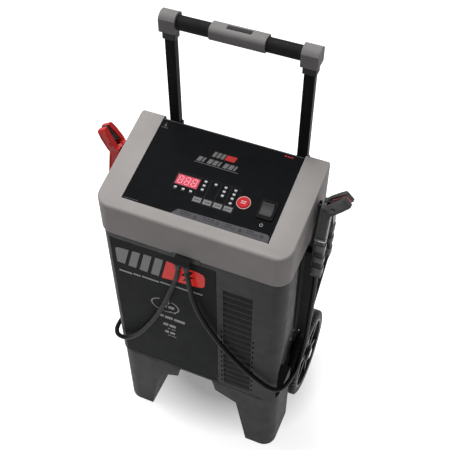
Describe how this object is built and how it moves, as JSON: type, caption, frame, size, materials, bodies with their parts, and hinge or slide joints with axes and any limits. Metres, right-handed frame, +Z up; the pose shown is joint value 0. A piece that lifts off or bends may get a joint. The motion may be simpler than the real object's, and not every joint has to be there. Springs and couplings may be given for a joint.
{
  "type": "wheeled battery charger",
  "caption": "Wheeled garage charger with sloping control panel, pull-out handle, two wheels, front feet and a pair of output leads with spring clamps.",
  "frame": {"origin": "on the floor, under the middle of the box of the charger without its leads and clamps", "axes": "+Z up, -Y out of the front with the label and vent, +X to the right as seen from the front"},
  "size_m": [0.4511, 0.3036, 0.864],
  "materials": {
    "cap_grey": "satin moulded plastic",
    "case_grey": "textured moulded plastic",
    "black_plastic": "satin black plastic",
    "panel_black": "satin printed overlay",
    "display_red": "lit display",
    "lamp_white": "printed lamp window",
    "button_grey": "satin",
    "stop_red": "gloss",
    "rocker_grey": "satin",
    "lead_rubber": "satin rubber jacket",
    "clamp_red": "moulded red plastic",
    "clamp_black": "moulded black plastic",
    "jaw_copper": "stamped copper",
    "steel": "zinc plated",
    "tube_black": "satin black paint",
    "tyre_black": "matt rubber",
    "hub_grey": "satin",
    "grip_black": "satin rubber",
    "core_steel": "varnished laminations",
    "winding_copper": "enamelled wire",
    "board_green": "solder mask",
    "sink_aluminium": "plain"
  },
  "bodies": {
    "charger": {"base_moulding": "case_grey", "front_case": "case_grey", "side_panel_left": "black_plastic", "side_panel_right": "black_plastic", "rear_cover": "black_plastic", "top_cap": "cap_grey", "control_panel": "panel_black", "display_module": "display_red", "indicator_lamps": "lamp_white", "front_label": "panel_black", "cable_gland": "black_plastic", "lead_boots": "lead_rubber", "red_lead": "lead_rubber", "black_lead": "lead_rubber", "clamp_rests": "black_plastic", "outer_tubes": "tube_black", "tube_brackets": "black_plastic", "axle": "steel", "axle_clips": "steel", "rocker_bezel": "black_plastic", "transformer_core": "core_steel", "transformer_windings": "winding_copper", "heat_sink": "sink_aluminium", "control_board": "board_green", "power_board": "board_green", "fan_frame": "black_plastic", "mains_gland": "black_plastic", "case_screws": "steel", "red_clamp_fixed_arm": "clamp_red", "black_clamp_fixed_arm": "clamp_black", "red_clamp_fixed_jaw": "jaw_copper", "black_clamp_fixed_jaw": "jaw_copper", "clamp_rivets": "steel", "clamp_springs": "steel"},
    "handle": {"handle_leg_left": "tube_black", "handle_leg_right": "tube_black", "leg_collars": "case_grey", "corner_cap_left": "cap_grey", "corner_cap_right": "cap_grey", "cross_tube": "steel", "grips": "grip_black", "grip_sleeve": "cap_grey"},
    "release_button": {"release_button": "case_grey", "latch_yoke": "steel"},
    "latch_pins": {"latch_pins": "steel"},
    "wheel_left": {"hub_left": "hub_grey", "tyre_left": "tyre_black"},
    "wheel_right": {"hub_right": "hub_grey", "tyre_right": "tyre_black"},
    "red_clamp_arm": {"red_clamp_moving_arm": "clamp_red", "red_clamp_moving_jaw": "jaw_copper"},
    "black_clamp_arm": {"black_clamp_moving_arm": "clamp_black", "black_clamp_moving_jaw": "jaw_copper"},
    "rocker": {"rocker": "rocker_grey"},
    "mode_button_1": {"mode_button_1": "button_grey"},
    "mode_button_2": {"mode_button_2": "button_grey"},
    "mode_button_3": {"mode_button_3": "button_grey"},
    "mode_button_4": {"mode_button_4": "button_grey"},
    "stop_button": {"stop_button": "stop_red"},
    "fan_rotor": {"fan_rotor": "hub_grey"}
  },
  "joints": [
    {"name": "handle_slide", "type": "slide", "parent": "charger", "child": "handle", "axis": [0, 0, 1], "range_m": [-0.15, 0]},
    {"name": "button_press", "type": "slide", "parent": "handle", "child": "release_button", "axis": [0, 0, -1], "range_m": [0, 0.003], "stiffness_N_per_m": 600, "springref_m": -0.004},
    {"name": "pins_retract", "type": "slide", "parent": "handle", "child": "latch_pins", "axis": [0, -1, 0], "range_m": [0, 0.003]},
    {"name": "wheel_left_spin", "type": "hinge", "parent": "charger", "child": "wheel_left", "pos_m": [-0.166, 0.05, 0.095], "axis": [1, 0, 0], "continuous": true},
    {"name": "wheel_right_spin", "type": "hinge", "parent": "charger", "child": "wheel_right", "pos_m": [0.166, 0.05, 0.095], "axis": [1, 0, 0], "continuous": true},
    {"name": "red_clamp_open", "type": "hinge", "parent": "charger", "child": "red_clamp_arm", "pos_m": [-0.191, -0.016, 0.623], "axis": [-1, 0, 0], "range_deg": [0, 12], "stiffness_Nm_per_rad": 2, "springref_deg": -5.73},
    {"name": "black_clamp_open", "type": "hinge", "parent": "charger", "child": "black_clamp_arm", "pos_m": [0.191, -0.016, 0.627], "axis": [-1, 0, 0], "range_deg": [0, 12], "stiffness_Nm_per_rad": 2, "springref_deg": -5.73},
    {"name": "rocker_tilt", "type": "hinge", "parent": "charger", "child": "rocker", "pos_m": [0.1055, -0.06674, 0.63141], "axis": [-1, 0, 0], "range_deg": [0, 16]},
    {"name": "mode_button_1_press", "type": "slide", "parent": "charger", "child": "mode_button_1", "axis": [0, 0.2453, -0.9694], "range_m": [0, 0.001], "stiffness_N_per_m": 400, "springref_m": -0.001},
    {"name": "mode_button_2_press", "type": "slide", "parent": "charger", "child": "mode_button_2", "axis": [0, 0.2453, -0.9694], "range_m": [0, 0.001], "stiffness_N_per_m": 400, "springref_m": -0.001},
    {"name": "mode_button_3_press", "type": "slide", "parent": "charger", "child": "mode_button_3", "axis": [0, 0.2453, -0.9694], "range_m": [0, 0.001], "stiffness_N_per_m": 400, "springref_m": -0.001},
    {"name": "mode_button_4_press", "type": "slide", "parent": "charger", "child": "mode_button_4", "axis": [0, 0.2453, -0.9694], "range_m": [0, 0.001], "stiffness_N_per_m": 400, "springref_m": -0.001},
    {"name": "stop_button_press", "type": "slide", "parent": "charger", "child": "stop_button", "axis": [0, 0.2453, -0.9694], "range_m": [0, 0.0012], "stiffness_N_per_m": 400, "springref_m": -0.001},
    {"name": "fan_spin", "type": "hinge", "parent": "charger", "child": "fan_rotor", "pos_m": [-0.07, 0.035, 0.44], "axis": [0, 1, 0], "continuous": true}
  ],
  "couplings": [
    {"joint": "pins_retract", "follows": "button_press", "ratio": 1}
  ]
}
